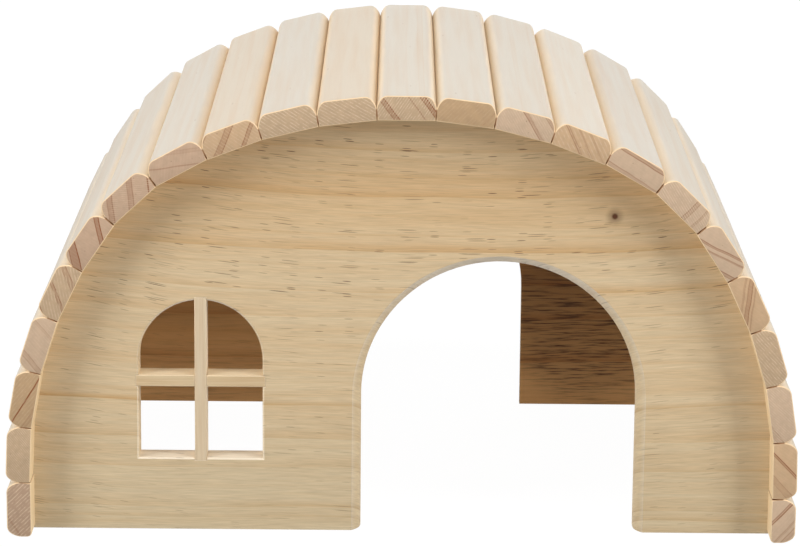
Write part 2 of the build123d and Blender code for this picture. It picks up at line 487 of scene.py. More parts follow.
    def room_face(self, tree: Tree, late: Node, point: Any, along: Any, z: Socket) -> Node:
        """Colours the room's side in painted orange light, with painted light low down and
        painted shade higher up, and torn fibres that show as dashes.

        Args:
            tree: The material's node tree.
            late: Share of latewood colour.
            point: The point in millimetres.
            along: The point with its ring's height in place of its own.
            z: The point's height in millimetres.

        Returns:
            The Mix node that holds the colour.
        """
        # painted orange light bounced about in the room
        inner = add(tree, "ShaderNodeMix",
                    {0: late, 6: linear(self.painted_room_pale), 7: linear(self.painted_room_late)},
                    data_type="RGBA")
        # painted light at the board's foot, painted shade higher up
        low = add(tree, "ShaderNodeMapRange", [z, 58.0, 14.0])
        low = add(tree, "ShaderNodeMix", {0: low, 6: linear(self.painted_shade_high), 7: self.painted_light_low},
                  data_type="RGBA")
        inner = add(tree, "ShaderNodeMix", {0: 1.0, 6: inner, 7: low}, data_type="RGBA",
                    blend_type="MULTIPLY")
        torn = self.fibres(tree, along, self.torn_size, 4.0, (0.48, 0.64), (0.36, 0.97))
        where = self.fibres(tree, along, self.torn_place_size, 1.0, (0.4, 0.6), (0.06, 0.34))
        patch = add(tree, "ShaderNodeVectorMath", [point, self.torn_patch], operation="DISTANCE")
        patch = add(tree, "ShaderNodeMapRange", [patch, 42.0, 18.0],
                    interpolation_type="SMOOTHSTEP")
        where = add(tree, "ShaderNodeMath", [where, patch], operation="ADD", use_clamp=True)
        torn = add(tree, "ShaderNodeMath", [torn, where], operation="MULTIPLY")
        return add(tree, "ShaderNodeMix", {0: torn, 6: inner, 7: linear(self.inner_dash)},
                   data_type="RGBA")

    def add_canals(self, tree: Tree, colour: Node, x: Socket, z: Socket, bow: Node,
                   ring: Node, along: Node) -> Node:
        """Adds resin canals, in rows where a ring lets them through, most of them high up.

        Args:
            tree: The material's node tree.
            colour: The Mix node that holds the colour so far.
            x: The point's x in millimetres.
            z: The point's height in millimetres.
            bow: Square of the distance from the middle of the rings' bow.
            ring: Height of the ring through the point.
            along: The point with that height in place of its own.

        Returns:
            The Mix node that holds the new colour.
        """
        rows = self.fibres(tree, along, self.row_size, 1.0, (0.38, 0.56))
        high = add(tree, "ShaderNodeMapRange", [z, 55.0, 105.0, 0.45])
        rows = add(tree, "ShaderNodeMath", [rows, high], operation="MULTIPLY")
        steep = add(tree, "ShaderNodeMath", [bow, -self.fleck_bow, ring],
                    operation="MULTIPLY_ADD")
        flat_point = add(tree, "ShaderNodeCombineXYZ", [x, steep])
        dashes = self.flecks(tree, flat_point, self.long_fleck, self.fleck_share, "2D")
        short = self.flecks(tree, flat_point, self.short_fleck, self.fleck_share, "2D")
        dashes = add(tree, "ShaderNodeMath", [dashes, short], operation="MAXIMUM")
        dashes = add(tree, "ShaderNodeMath", [dashes, rows], operation="MULTIPLY")
        dashes = add(tree, "ShaderNodeMath", [dashes, self.fleck_depth], operation="MULTIPLY")
        return add(tree, "ShaderNodeMix", {0: dashes, 6: colour, 7: linear(self.fleck)},
                   data_type="RGBA")

    def add_knot(self, tree: Tree, colour: Node, x: Socket, z: Socket) -> Node:
        """Adds a pin knot: a dark core in a faint brown halo.

        Args:
            tree: The material's node tree.
            colour: The Mix node that holds the colour so far.
            x: The point's x in millimetres.
            z: The point's height in millimetres.

        Returns:
            The Mix node that holds the new colour.
        """
        flat = add(tree, "ShaderNodeCombineXYZ", [x, 0.0, z])
        away = add(tree, "ShaderNodeVectorMath", [flat, (self.knot[0], 0, self.knot[1])],
                   operation="DISTANCE")
        halo = add(tree, "ShaderNodeMapRange", [away, 4.0, 1.0, 0.0, 0.45],
                   interpolation_type="SMOOTHSTEP")
        core = add(tree, "ShaderNodeMapRange", [away, 1.5, 0.5, 0.0, 0.6],
                   interpolation_type="SMOOTHSTEP")
        dark = add(tree, "ShaderNodeMath", [halo, core], operation="ADD", use_clamp=True)
        return add(tree, "ShaderNodeMix", {0: dark, 6: colour, 7: linear(self.fleck)},
                   data_type="RGBA")


@dataclass(frozen=True, kw_only=True)
class SlatPine(Pine):
    """Planed pine batten: nearly white on its face, with sawn ends that show the rings.

    The rings come from each slat's own attributes, so one material serves all of them.
    """

    name: str = "planed_pine_batten"
    pale: str = "#E0D5C4"
    late: str = "#DDC7AD"
    fibre_depth: float = 0.02
    fibre_relief: float = 0.3
    painted_glow: str = "#F8E4C6"  # rounded shoulders: painted glow of light bounced and scattered in the valleys between slats
    inner: str = "#F5DAAF"  # the face against the walls and the room, never sanded
    eased: str = "#F6D9B0"  # the sanded break round the ends: paler fresh wood, with a painted highlight along the edge
    end_late: str = "#8A5028"  # latewood on the sawn ends
    saw_light: str = "#E2CBAE"  # fibres torn up by the saw
    dust_and_painted_crack_shade: str = "#8A5628"  # dust and glue between neighbours, with painted shade of the crack
    fleck: str = "#A98560"  # resin canals cut open lengthwise
    fleck_share: float = 0.05
    fleck_depth: float = 0.35
    pore: str = "#7C5A42"  # resin canals seen end on
    pore_share: float = 0.07
    pore_depth: float = 0.55
    ring_drift: float = 1.6
    # streak and cell sizes in mm: two across the slat and one along it
    drift_size: Triple = (16, 16, 90)
    streak_size: Triple = (3.4, 3.4, 85)
    cloud_size: Triple = (9, 9, 40)
    fine_size: Triple = (0.3, 0.3, 14)
    fleck_cell: Triple = (2.2, 2.2, 12)
    blotch_size: Triple = (2.8, 2.8, 8)
    wander_size: Triple = (3, 3, 20)
    patch_size: Triple = (1.6, 1.6, 30)
    pore_cell: Triple = (1.5, 1.5, 30)

    def build(self) -> bpy.types.Material:
        """Builds the material.

        Returns:
            The material.
        """
        material, tree, shader = self.start()
        wood, spot, saw = (
            add(tree, "ShaderNodeAttribute", attribute_name=name).outputs["Vector"]
            for name in ("wood", "spot", "saw"))
        tint, cast = (
            add(tree, "ShaderNodeAttribute", attribute_name=name).outputs["Color"]
            for name in ("end_tint", "face_tint"))
        across, _, _ = add(tree, "ShaderNodeSeparateXYZ", [wood]).outputs
        saw_at, saw_tone, seed = add(tree, "ShaderNodeSeparateXYZ", [saw]).outputs
        rounded, height, _ = add(tree, "ShaderNodeSeparateXYZ", [spot]).outputs
        shift = add(tree, "ShaderNodeCombineXYZ", [seed, seed, seed])
        moved = add(tree, "ShaderNodeVectorMath", [wood, shift], operation="ADD")

        # rings: distance from the pith, drifting slowly along the slat
        ring = self.drift(tree, moved, self.drift_size, self.ring_drift, across)
        late = self.rings(tree, ring)
        face, fine = self.planed_face(tree, moved, late, rounded, cast)
        end, mark = self.sawn_end(tree, moved, late, tint, saw_at, saw_tone)

        facing = add(tree, "ShaderNodeNewGeometry").outputs["Normal"]
        square = add(tree, "ShaderNodeVectorMath", [facing, GrainAxis.LENGTHWISE.value],
                     operation="DOT_PRODUCT")
        square = add(tree, "ShaderNodeMath", [square], operation="ABSOLUTE")
        is_eased = add(tree, "ShaderNodeMapRange", [square, 0.1, 0.35],
                       interpolation_type="SMOOTHSTEP")
        is_end = add(tree, "ShaderNodeMapRange", [square, 0.92, 0.995],
                     interpolation_type="SMOOTHSTEP")
        # the break round the ends: paler wood, partly a painted highlight along the edge
        colour = add(tree, "ShaderNodeMix", {0: is_eased, 6: face, 7: linear(self.eased)},
                     data_type="RGBA")
        colour = add(tree, "ShaderNodeMix", {0: is_end, 6: colour, 7: end}, data_type="RGBA")
        colour = self.hidden_sides(tree, colour, rounded, height, is_end, is_eased)
        relief = add(tree, "ShaderNodeMix", {0: is_end, 2: fine, 3: mark})
        self.close(tree, shader, colour, relief)
        return material

    def rings(self, tree: Tree, ring: Any) -> Node:
        """Adds the slat's growth rings: a thin dark line with a band beside it for each.

        Args:
            tree: The material's node tree.
            ring: Distance across the rings in millimetres.

        Returns:
            A node that gives the share of latewood colour.
        """
        places, broads, tones = (
            add(tree, "ShaderNodeSeparateXYZ",
                {0: add(tree, "ShaderNodeAttribute", attribute_name=name).outputs["Vector"]})
            for name in ("ring_places", "ring_broads", "ring_tones"))
        total = None
        for k in range(SLAT_RINGS):
            away = add(tree, "ShaderNodeMath", [places.outputs[k], ring], operation="SUBTRACT")
            inside = add(tree, "ShaderNodeMath", [away, broads.outputs[k]], operation="DIVIDE")
            fade = add(tree, "ShaderNodeMapRange", [inside, 1.2, 0.8],
                       interpolation_type="SMOOTHSTEP")
            begin = add(tree, "ShaderNodeMapRange", [inside, -0.06, 0.0, 0.0, 0.45])
            both = add(tree, "ShaderNodeMath", [fade, begin], operation="MULTIPLY")
            far = add(tree, "ShaderNodeMath", [away, broads.outputs[k]], operation="SUBTRACT")
            for side, depth in ((away, 1.0), (far, 0.75)):
                off = add(tree, "ShaderNodeMath", [side], operation="ABSOLUTE")
                line = add(tree, "ShaderNodeMapRange", [off, 0.3, 0.08, 0.0, depth],
                           interpolation_type="SMOOTHSTEP")
                both = add(tree, "ShaderNodeMath", [both, line], operation="MAXIMUM")
            both = add(tree, "ShaderNodeMath", [both, tones.outputs[k]], operation="MULTIPLY")
            both = add(tree, "ShaderNodeMath", [both, 1.15], operation="MULTIPLY", use_clamp=True)
            if total:
                both = add(tree, "ShaderNodeMath", [total, both], operation="MAXIMUM")
            total = both
        return total

    def planed_face(self, tree: Tree, moved: Node, late: Node, rounded: Socket,
                    cast: Socket) -> tuple[Node, Socket]:
        """Colours the planed faces: the rings show only as faint lengthwise streaks, with a
        painted glow on the rounded shoulders.

        Args:
            tree: The material's node tree.
            moved: The point in the slat's own wood.
            late: Share of latewood colour.
            rounded: How far out on the rounded shoulder the point lies.
            cast: The slat's own cast of colour.

        Returns:
            The Mix node that holds the colour, and the fine fibres' own tone.
        """
        streak = self.fibres(tree, moved, self.streak_size, 1.5, (0.42, 0.8), (0.0, 0.65))
        faint = add(tree, "ShaderNodeMath", [late, 0.4, streak], operation="MULTIPLY_ADD",
                    use_clamp=True)
        face = add(tree, "ShaderNodeMix", {0: faint, 6: linear(self.pale), 7: linear(self.late)},
                   data_type="RGBA")
        # painted glow on the rounded shoulders, for light bounced and scattered in the valleys,
        # broken up by slow noise
        cloud = self.fibres(tree, moved, self.cloud_size, detail=2.0)
        painted_glow = add(tree, "ShaderNodeMath", [cloud, 0.5, rounded], operation="MULTIPLY_ADD")
        painted_glow = add(tree, "ShaderNodeMapRange", [painted_glow, 0.5, 1.2], interpolation_type="SMOOTHSTEP")
        face = add(tree, "ShaderNodeMix", {0: painted_glow, 6: face, 7: linear(self.painted_glow)},
                   data_type="RGBA")
        face, fine = self.fine_fibres(tree, face, moved, self.fine_size, detail=4.0)
        face = add(tree, "ShaderNodeMix", {0: 1.0, 6: face, 7: cast}, data_type="RGBA",
                   blend_type="MULTIPLY")
        dashes = self.flecks(tree, moved, self.fleck_cell, self.fleck_share)
        dashes = add(tree, "ShaderNodeMath", [dashes, self.fleck_depth], operation="MULTIPLY")
        face = add(tree, "ShaderNodeMix", {0: dashes, 6: face, 7: linear(self.fleck)},
                   data_type="RGBA")
        return face, fine

    def sawn_end(self, tree: Tree, moved: Node, late: Node, tint: Socket, saw_at: Socket,
                 saw_tone: Socket) -> tuple[Node, Node]:
        """Colours the sawn ends: rings at full strength, blotches, saw marks and open pores.

        Args:
            tree: The material's node tree.
            moved: The point in the slat's own wood.
            late: Share of latewood colour.
            tint: The end's earlywood colour.
            saw_at: Distance across the saw's marks, one mark to every two.
            saw_tone: Strength of the marks.

        Returns:
            The Mix node that holds the colour, and the marks' own tone.
        """
        blotch = self.fibres(tree, moved, self.blotch_size, 4.0, (0.25, 0.75), (0.92, 1.08))
        end = add(tree, "ShaderNodeMix", {0: 1.0, 6: tint, 7: blotch}, data_type="RGBA",
                  blend_type="MULTIPLY")
        wander = self.fibres(tree, moved, self.wander_size, detail=2.0)
        mark = add(tree, "ShaderNodeMath", [wander, 0.8, saw_at], operation="MULTIPLY_ADD")
        mark = add(tree, "ShaderNodeMath", [mark, 1.0], operation="PINGPONG")
        mark = add(tree, "ShaderNodeMapRange", [mark, 0.5, 0.92], interpolation_type="SMOOTHSTEP")
        patch = self.fibres(tree, moved, self.patch_size, 2.0, (0.35, 0.62))
        mark = add(tree, "ShaderNodeMath", [mark, patch], operation="MULTIPLY")
        mark = add(tree, "ShaderNodeMath", [mark, saw_tone], operation="MULTIPLY")
        pores = self.flecks(tree, moved, self.pore_cell, self.pore_share)
        pores = add(tree, "ShaderNodeMath", [pores, self.pore_depth], operation="MULTIPLY")
        for share, paint in ((late, self.end_late), (mark, self.saw_light), (pores, self.pore)):
            end = add(tree, "ShaderNodeMix", {0: share, 6: end, 7: linear(paint)},
                      data_type="RGBA")
        return end, mark

    def hidden_sides(self, tree: Tree, colour: Node, rounded: Socket, height: Socket,
                     is_end: Node, is_eased: Node) -> Node:
        """Colours the underside, and the sides below the line where neighbours touch: dust and
        glue there, with painted shade of the crack.

        Args:
            tree: The material's node tree.
            colour: The Mix node that holds the colour so far.
            rounded: 1 on the slat's sides and less towards its middle.
            height: Height over the slat's underside in millimetres.
            is_end: 1 on the sawn ends.
            is_eased: 1 on the sanded break round them.

        Returns:
            The Mix node that holds the new colour.
        """
        not_end = add(tree, "ShaderNodeMath", [1.0, is_end], operation="SUBTRACT")
        under = add(tree, "ShaderNodeMapRange", [height, 0.45, 0.1])
        under = add(tree, "ShaderNodeMath", [under, not_end], operation="MULTIPLY")
        dust_and_painted_crack_shade = add(tree, "ShaderNodeMapRange", [rounded, 0.965, 0.995])
        below = add(tree, "ShaderNodeMapRange", [height, 4.4, 3.8])
        above = add(tree, "ShaderNodeMapRange", [height, 0.15, 0.4])
        # a little less of it on the break round the ends
        not_eased = add(tree, "ShaderNodeMapRange",
                        {"Value": is_eased, "To Min": 1.0, "To Max": 0.85})
        for limit in (below, above, not_end, not_eased):
            dust_and_painted_crack_shade = add(tree, "ShaderNodeMath", [dust_and_painted_crack_shade, limit], operation="MULTIPLY")
        for share, paint in ((under, self.inner), (dust_and_painted_crack_shade, self.dust_and_painted_crack_shade)):
            colour = add(tree, "ShaderNodeMix", {0: share, 6: colour, 7: linear(paint)},
                         data_type="RGBA")
        return colour


@dataclass(frozen=True, kw_only=True)
class BarPine(Pine):
    """Thin sanded pine stick: straight grain along the stick."""

    axis: GrainAxis = GrainAxis.UPRIGHT
    cut_pale_and_painted_light: str = "#EFDDBE"  # its sides and the sanded breaks of its edges: fresh wood, partly painted light
    cut_share: float = 0.6
    streak_width: float = 1.1
    streak_length: float = 45.0
    fibre_share: float = 0.3  # a fibre's size as a share of a streak's

    def build(self) -> bpy.types.Material:
        """Builds the material.

        Returns:
            The material.
        """
        material, tree, shader = self.start()
        point = self.millimetres(tree)
        size = Vector(self.streak_length if step else self.streak_width
                      for step in self.axis.value)
        late = self.fibres(tree, point, size, 3.0, (0.35, 0.75))
        colour = add(tree, "ShaderNodeMix", {0: late, 6: linear(self.pale), 7: linear(self.late)},
                     data_type="RGBA")
        facing = add(tree, "ShaderNodeNewGeometry").outputs["Normal"]
        _, out_y, _ = add(tree, "ShaderNodeSeparateXYZ", [facing]).outputs
        colour = self.cut_edges(tree, colour, out_y, self.cut_pale_and_painted_light, self.cut_share)
        colour, fine = self.fine_fibres(tree, colour, point, size * self.fibre_share, detail=4.0)
        self.close(tree, shader, colour, fine)
        return material


# ------------------------------------------------------------------ the arch


@dataclass(frozen=True)
class Arch:
    """The curved edge of the end walls that the slats lie on, in millimetres."""

    half_width: float = 131.2
    height: float = 151.5
    crown_half_angle: float = 27.0
    shoulder_radius: float = 81.0
    shoulder_angle: float = 27.5
    side_radius: float = 145.9

    def walk(self) -> list[tuple[float, float]]:
        """Lists the arch's pieces from the left foot.

        Returns:
            Each piece's radius and its turn in degrees, or its length and no turn.
        """
        crown = radians(self.crown_half_angle)
        end = radians(self.crown_half_angle + self.shoulder_angle)
        side_turn = 90.0 - self.crown_half_angle - self.shoulder_angle
        crown_radius = (self.half_width - self.shoulder_radius * (sin(end) - sin(crown))
                        - self.side_radius * (1 - sin(end))) / sin(crown)
        leg = (self.height - crown_radius * (1 - cos(crown))
               - self.shoulder_radius * (cos(crown) - cos(end)) - self.side_radius * cos(end))
        half = [
            (leg, 0.0),
            (self.side_radius, side_turn),
            (self.shoulder_radius, self.shoulder_angle),
        ]
        return [*half, (crown_radius, 2 * self.crown_half_angle), *reversed(half)]

    def length(self) -> float:
        """Length of the whole arch."""
        return sum(size * radians(turn) if turn else size for size, turn in self.walk())

    def station(self, distance: float) -> Triple:
        """Finds a point of the arch.

        Args:
            distance: Millimetres along the arch from the left foot.

        Returns:
            The point's x and z, and the heading there in degrees.
        """
        x, z, heading = -self.half_width, 0.0, 90.0
        for size, turn in self.walk():
            step = min(distance, size * radians(turn) if turn else size)
            distance -= step
            if turn:
                turned = degrees(step / size)
                x += size * (sin(radians(heading)) - sin(radians(heading - turned)))
                z += size * (cos(radians(heading - turned)) - cos(radians(heading)))
                heading -= turned
            else:
                x += step * cos(radians(heading))
                z += step * sin(radians(heading))
            if distance <= 0:
                break
        return x, z, heading


# ------------------------------------------------------------------ roof


@dataclass(frozen=True)
class Ring:
    """One growth ring on a slat's sawn end, in millimetres across the rings."""

    at: float  # its dark edge, from the middle of the slat
    broad: float = 0.05  # the latewood beside it, on the other side where negative
    tone: float = 0.7


NO_RING = Ring(99.0, tone=0.0)  # fills the room for a ring that a slat doesn't show


@dataclass(frozen=True)
class SlatTimber:
    """What one slat's piece of wood shows on its sawn ends, seen from the front."""

    lean: float = -45.0  # degrees of the rings from level, rising to the right
    rings: tuple[Ring, ...] = ()
    curve: float = 0.0  # bend of the rings, per mm
    tint: EndTint = EndTint.BEIGE
    saw_lean: float = -35.0  # degrees of the saw marks
    saw: float = 0.5  # strength of the saw marks
    saw_pitch: float = 1.05  # mm from one mark to the next
    face: FaceTint = FaceTint.PLAIN


@dataclass
class SlatRoof:
    """Battens laid side by side round the arch, glued to the edges of both walls."""

    arch: Arch = field(default_factory=Arch)
    length: float = 200.0
    thickness: float = 8.8
    last_share: float = 0.8  # width of the slat at the right foot, ripped to fit
    gap_first: float = 0.17  # between the feet of the first two slats
    gap_last: float = 0.65
    edge_width: float = 1.9  # of the sloped upper edge, across the slat
    edge_drop: float = 3.6  # and down its side
    round_top: float = 3.0
    round_side: float = 6.0
    round_steps: int = 5
    foot_round: float = 1.6
    end_ease: float = 0.4
    end_ease_steps: int = 3
    crack: float = 0.3  # the widest gap between two feet that is left open
    meeting_height: float = 5.2  # where neighbours touch, above the arch
    press: float = 5.5  # further lean of the sides, in ripples, so that those leave no crack
    stations: int = 41
    ripple: float = 0.12  # unevenness of the planed faces
    ripple_size: Triple = (12, 12, 55)  # of one wave of it
    ripple_crest: float = 0.75  # value of its noise at which a face keeps its place
    shape_seed: float = 3.7  # moves the ripples from one slat to the next
    grain_seed: float = 17.3  # moves the fine patterns
    shoulder_reach: float = 1.5  # how far the painted glow of the shoulders comes up on the face
    saw_period: float = 2.0  # of the wave that draws the saw marks
    rim_angle: float = 60.0  # degrees, sharper edges round the ends are eased
    smooth_angle: float = 40.0  # degrees, sharper edges stay sharp
    timbers: tuple[SlatTimber, ...] = (
        SlatTimber(-60, (Ring(-4.5, 0.3, 0.3),), tint=EndTint.BROWN, saw_lean=44, saw=0.6),
        SlatTimber(saw_lean=-51, saw_pitch=0.65),
        SlatTimber(58, (Ring(-0.6, 0.1, 0.95), Ring(-4.5, 1.2, 0.2)), tint=EndTint.TAN,
                   saw_lean=50, saw=0.2),
        SlatTimber(-51, (Ring(-5.0, 1.5, 0.35), Ring(5.4, 0.8, 0.2)), tint=EndTint.PALE,
                   saw_lean=-50, saw=0.2),
        SlatTimber(-69, (Ring(-0.4, 0.9, 0.6), Ring(6.2, 1.6, 0.5), Ring(-8.1, 0.2, 0.6)),
                   curve=0.006, saw_lean=-80),
        SlatTimber(-77, (Ring(-4.6, 2.6, 0.9), Ring(5.5, 1.5, 1.0)), tint=EndTint.ROSY, saw=0.1),
        SlatTimber(-83, (Ring(-5.0, 1.7, 0.6), Ring(2.4, 1.7, 0.55), Ring(7.9, 0.1, 0.8)),
                   tint=EndTint.ROSY, saw_lean=-4, saw=0.4, saw_pitch=0.7),
        SlatTimber(8, (Ring(-0.85, 0.1, 0.35), Ring(4.4, 1.0, 0.2)), curve=0.006,
                   tint=EndTint.ROSY, saw_lean=85, saw=0.12),
        SlatTimber(69, (Ring(0.9, -1.9, 0.6), Ring(-4.7, 1.1, 0.6), Ring(8.1, -1.0, 0.4)),
                   tint=EndTint.HONEY, saw=0.3, face=FaceTint.WARM),
        SlatTimber(saw_lean=-33, saw=0.65),
        SlatTimber(saw_lean=-29, saw=0.65, face=FaceTint.WARM),
        SlatTimber(-52, (Ring(-4.3, 1.4, 0.75), Ring(7.4, 1.4, 0.95), Ring(2.8, 0.1, 0.4)),
                   saw_lean=56, saw=0.7, saw_pitch=0.85),
        SlatTimber(45, (Ring(-7.0, 0.1, 0.15),), tint=EndTint.TAN, saw_lean=45, saw=0.15),
        SlatTimber(-58, (Ring(1.45, -1.0, 0.55), Ring(8.2, 1.1, 0.55)), tint=EndTint.PALE,
                   saw_lean=-60, saw=0.4, saw_pitch=0.8),
        SlatTimber(-66, (Ring(-2.8, -0.6, 0.45), Ring(0.6, 0.4, 0.25), Ring(3.6, 0.4, 0.2)),
                   tint=EndTint.HONEY, saw_lean=-64, saw=0.35, saw_pitch=1.3,
                   face=FaceTint.LIGHT),
        SlatTimber(-33, (Ring(-3.1, 1.6, 0.4), Ring(2.9, -0.9, 0.6)), tint=EndTint.PALE, saw=0.1,
                   face=FaceTint.COOL),
        SlatTimber(47, (Ring(-1.9, 1.3, 0.5), Ring(-6.6, 0.5, 0.3)), tint=EndTint.PALE,
                   saw_lean=-58, saw=0.6, saw_pitch=0.8),
        SlatTimber(-27, (Ring(0.65, 0.5, 0.6), Ring(-1.4, 0.3, 0.45), Ring(-6.0, 0.9, 0.6)),
                   tint=EndTint.PALE, saw=0.1),
        SlatTimber(83, (Ring(0.2, -1.3, 0.6), Ring(2.7, -0.4, 0.3), Ring(-0.9, 0.2, 0.3)),
                   curve=0.004, tint=EndTint.HONEY, saw=0.1),
        SlatTimber(saw_lean=-48, saw=0.6, saw_pitch=0.9),
        SlatTimber(-52, (Ring(-5.5, 1.8, 0.25),), tint=EndTint.PALE, saw_lean=-42,
                   saw_pitch=0.75),
        SlatTimber(-48, (Ring(2.1, 0.6, 0.75), Ring(-3.6, 2.0, 0.3)), curve=0.003,
                   tint=EndTint.HONEY, saw=0.1),
        SlatTimber(50, (Ring(2.1, -0.8, 0.75), Ring(-2.8, 0.4, 0.3), Ring(-4.6, 1.2, 0.35)),
                   tint=EndTint.PALE, saw_lean=50, saw=0.15),
    )

    def tree(self) -> Tree:
        """Builds the Geometry Nodes tree that makes one slat in its place.

        The section is drawn in the tree's XY plane, x along the arch and y outwards, rounded,
        swept along the slat, roughened, and turned and moved to the arch.

        Returns:
            The tree, whose inputs are named sizes in metres.
        """
        tree = bpy.data.node_groups.new("slat_on_arch", "GeometryNodeTree")
        face = tree.interface
        for name in ("Width", "Thickness", "Edge Width", "Edge Drop", "Round Top", "Round Side",
                     "Left Foot Round", "Right Foot Round", "Left Flare", "Right Flare", "Length",
                     "Ripple", "Heading", "Seed"):
            face.new_socket(name, in_out="INPUT", socket_type="NodeSocketFloat")
        face.new_socket("Stations", in_out="INPUT", socket_type="NodeSocketInt")
        face.new_socket("Place", in_out="INPUT", socket_type="NodeSocketVector")
        face.new_socket("Finish", in_out="INPUT", socket_type="NodeSocketMaterial")
        face.new_socket("Slat", in_out="OUTPUT", socket_type="NodeSocketGeometry")
        given = add(tree, "NodeGroupInput").outputs

        section = self.draw_section(tree, given)
        reach = add(tree, "ShaderNodeMath", [given["Length"], 0.5], operation="MULTIPLY")
        back = add(tree, "ShaderNodeMath", [reach, -1.0], operation="MULTIPLY")
        path = add(tree, "GeometryNodeCurvePrimitiveLine",
                   {"Start": add(tree, "ShaderNodeCombineXYZ", {2: back}),
                    "End": add(tree, "ShaderNodeCombineXYZ", {2: reach})})
        path = add(tree, "GeometryNodeResampleCurve", {"Curve": path, "Count": given["Stations"]})
        body = add(tree, "GeometryNodeCurveToMesh",
                   {"Curve": path, "Profile Curve": section, "Fill Caps": True})
        body = self.roughen(tree, given, body)

        # section plane to the object's frame: x along the arch, y outwards, z to the front
        upright = add(tree, "GeometryNodeTransform",
                      {"Geometry": body, "Rotation": (pi / 2, 0.0, 0.0)})
        turn = add(tree, "ShaderNodeMath", [given["Heading"], -1.0], operation="MULTIPLY")
        laid = add(tree, "GeometryNodeTransform",
                   {"Geometry": upright, "Rotation": add(tree, "ShaderNodeCombineXYZ", {1: turn}),
                    "Translation": given["Place"]})
        whole = add(tree, "GeometryNodeRealizeInstances", {"Geometry": laid})
        dressed = add(tree, "GeometryNodeSetMaterial",
                      {"Geometry": whole, "Material": given["Finish"]})
        add(tree, "NodeGroupOutput", {"Slat": dressed})
        return tree

    def draw_section(self, tree: Tree, given: Any) -> Node:
        """Draws a slat's rounded section, with its sides leaning out to its neighbours.

        Args:
            tree: The Geometry Nodes tree.
            given: The tree's named inputs.

        Returns:
            The node that gives the closed curve.
        """
        half = add(tree, "ShaderNodeMath", [given["Width"], 0.5], operation="MULTIPLY")
        left = add(tree, "ShaderNodeMath", [half, -1.0], operation="MULTIPLY")
        right_top = add(tree, "ShaderNodeMath", [half, given["Edge Width"]], operation="SUBTRACT")
        left_top = add(tree, "ShaderNodeMath", [right_top, -1.0], operation="MULTIPLY")
        shoulder = add(tree, "ShaderNodeMath", [given["Thickness"], given["Edge Drop"]],
                       operation="SUBTRACT")
        right_side = add(tree, "ShaderNodeMath", [half, given["Right Flare"]])
        left_side = add(tree, "ShaderNodeMath", [left, given["Left Flare"]], operation="SUBTRACT")
        outline = [
            (left, 0.0, given["Left Foot Round"]),
            (half, 0.0, given["Right Foot Round"]),
            (right_side, shoulder, given["Round Side"]),
            (right_top, given["Thickness"], given["Round Top"]),
            (left_top, given["Thickness"], given["Round Top"]),
            (left_side, shoulder, given["Round Side"]),
        ]
        number = add(tree, "GeometryNodeInputIndex")
        place = add(tree, "GeometryNodeIndexSwitch", data_type="VECTOR")
        radius = add(tree, "GeometryNodeIndexSwitch", data_type="FLOAT")
        for switch in (place, radius):
            while len(switch.index_switch_items) < len(outline):
                switch.index_switch_items.new()
            tree.links.new(number.outputs[0], switch.inputs["Index"])
        for i, (x, y, rounding) in enumerate(outline):
            point = add(tree, "ShaderNodeCombineXYZ", [x, y])
            tree.links.new(point.outputs[0], place.inputs[i + 1])
            tree.links.new(rounding, radius.inputs[i + 1])
        ring = add(tree, "GeometryNodeMeshCircle", {"Vertices": len(outline)})
        section = add(tree, "GeometryNodeMeshToCurve", {"Mesh": ring})
        section = add(tree, "GeometryNodeSetPosition", {"Geometry": section, "Position": place})
        return add(tree, "GeometryNodeFilletCurve",
                   {"Curve": section, "Count": self.round_steps, "Radius": radius,
                    "Limit Radius": True}, mode="POLY")

    def roughen(self, tree: Tree, given: Any, body: Node) -> Node:
        """Makes the long faces very slightly uneven, as planing leaves them.

        Args:
            tree: The Geometry Nodes tree.
            given: The tree's named inputs.
            body: The node that gives the smooth slat, with its length along z.

        Returns:
            The node that gives the slat with its ripples.
        """
        point = add(tree, "GeometryNodeInputPosition")
        drawn = add(tree, "ShaderNodeVectorMath",
                    {0: point, 1: [size * MM for size in self.ripple_size]}, operation="DIVIDE")
        seeded = add(tree, "ShaderNodeVectorMath", [drawn, given["Seed"]], operation="ADD")
        noise = add(tree, "ShaderNodeTexNoise", {"Vector": seeded, "Scale": 1.0, "Detail": 1.0})
        inwards = add(tree, "ShaderNodeMath", [noise.outputs["Fac"], self.ripple_crest],
                      operation="SUBTRACT")
        inwards = add(tree, "ShaderNodeMath", [inwards, given["Ripple"]], operation="MULTIPLY")
        flat = add(tree, "ShaderNodeVectorMath",
                   [add(tree, "GeometryNodeInputNormal"), (1.0, 1.0, 0.0)], operation="MULTIPLY")
        shift = add(tree, "ShaderNodeVectorMath", {0: flat, "Scale": inwards}, operation="SCALE")
        return add(tree, "GeometryNodeSetPosition", {"Geometry": body, "Offset": shift})

    def gap(self, number: float) -> float:
        """Width of a gap between two feet, counted from 0 at the left, in millimetres."""
        step = (self.gap_last - self.gap_first) / (len(self.timbers) - 2)
        return self.gap_first + step * number

    def lies(self) -> list[tuple[Triple, float]]:
        """Works out where each slat lies on the arch, and how wide it is.

        Returns:
            For each slat its x, z and heading, and its width in millimetres.
        """
        gaps = len(self.timbers) - 1
        spare = sum(self.gap(i) for i in range(gaps))
        width = (self.arch.length() - spare) / (gaps + self.last_share)
        lies = []
        at = 0.0
        for i in range(gaps + 1):
            own = width * (self.last_share if i == gaps else 1.0)
            # glue squeezed out of the wider gaps makes the slats between them broader
            glue = max(0.0, self.gap(i - 0.5) - self.crack) if 0 < i < gaps else 0.0
            lies.append((self.arch.station(at + own / 2), own + glue))
            at += own + self.gap(i)
        return lies

